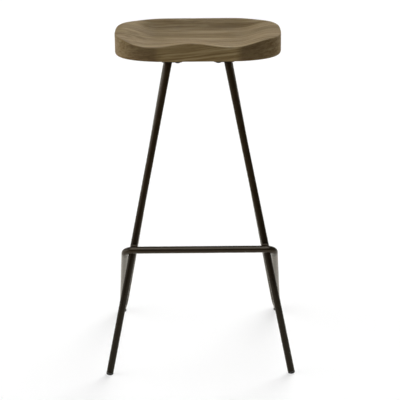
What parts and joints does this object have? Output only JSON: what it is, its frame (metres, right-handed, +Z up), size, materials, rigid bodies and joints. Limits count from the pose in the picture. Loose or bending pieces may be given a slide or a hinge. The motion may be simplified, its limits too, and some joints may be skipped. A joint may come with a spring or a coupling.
{
  "type": "bar stool",
  "caption": "Bar stool: a carved wooden saddle seat on a welded frame of bent steel rod, with hairpin rear feet and a footrest bar across the front legs.",
  "frame": {"origin": "on the floor, below the middle of the seat", "axes": "+Z up; the front, where the footrest is, faces -Y; +X is to the right as seen from the front"},
  "size_m": [0.4334, 0.4157, 0.76],
  "materials": {
    "seat_wood": "grey-brown stain under a satin lacquer",
    "frame_steel": "satin black-brown coating",
    "bolt_steel": "blackened",
    "insert_zinc": "zinc plated",
    "glide_nylon": "matt"
  },
  "bodies": {
    "root": {"seat": "seat_wood", "mount_plate_left": "frame_steel", "mount_plate_right": "frame_steel", "front_leg_left": "frame_steel", "front_leg_right": "frame_steel", "hairpin_rod_left": "frame_steel", "hairpin_rod_right": "frame_steel", "footrest_bar": "frame_steel", "weld_front_leg_left": "frame_steel", "weld_front_leg_right": "frame_steel", "weld_rear_leg_left": "frame_steel", "weld_rear_leg_right": "frame_steel", "weld_footrest_upper_left": "frame_steel", "weld_footrest_upper_right": "frame_steel", "weld_footrest_lower_left": "frame_steel", "weld_footrest_lower_right": "frame_steel", "front_glide_left": "glide_nylon", "front_glide_right": "glide_nylon", "rear_glide_left": "glide_nylon", "rear_glide_right": "glide_nylon", "bolt_front_left": "bolt_steel", "bolt_front_right": "bolt_steel", "bolt_middle_left": "bolt_steel", "bolt_middle_right": "bolt_steel", "bolt_rear_left": "bolt_steel", "bolt_rear_right": "bolt_steel", "washer_front_left": "bolt_steel", "washer_front_right": "bolt_steel", "washer_middle_left": "bolt_steel", "washer_middle_right": "bolt_steel", "washer_rear_left": "bolt_steel", "washer_rear_right": "bolt_steel", "insert_front_left": "insert_zinc", "insert_front_right": "insert_zinc", "insert_middle_left": "insert_zinc", "insert_middle_right": "insert_zinc", "insert_rear_left": "insert_zinc", "insert_rear_right": "insert_zinc"}
  },
  "joints": []
}
